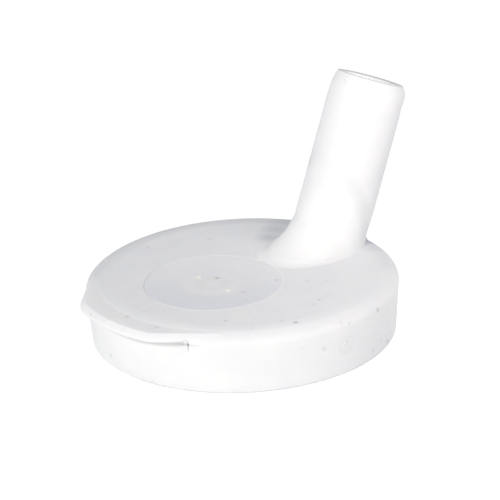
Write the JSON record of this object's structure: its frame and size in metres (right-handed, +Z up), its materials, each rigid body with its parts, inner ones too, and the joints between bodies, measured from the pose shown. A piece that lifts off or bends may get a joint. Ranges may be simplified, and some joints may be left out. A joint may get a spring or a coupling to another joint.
{
  "type": "spouted cup lid",
  "caption": "Round push-on lid for a drinking cup, with a tall leaning hollow spout on a flared foot and a thumb tab on the opposite side.",
  "frame": {"origin": "on the skirt's axis, in the plane of its rim, where the cup enters", "axes": "+Z up along the skirt's axis, +X towards the side the spout leans to, the thumb tab towards -X, XZ the plane of symmetry"},
  "size_m": [0.0944, 0.0778, 0.0588],
  "materials": {
    "white_plastic": "soft moulded polyethylene, satin, slightly translucent"
  },
  "bodies": {
    "root": {"lid": "white_plastic"}
  },
  "joints": []
}
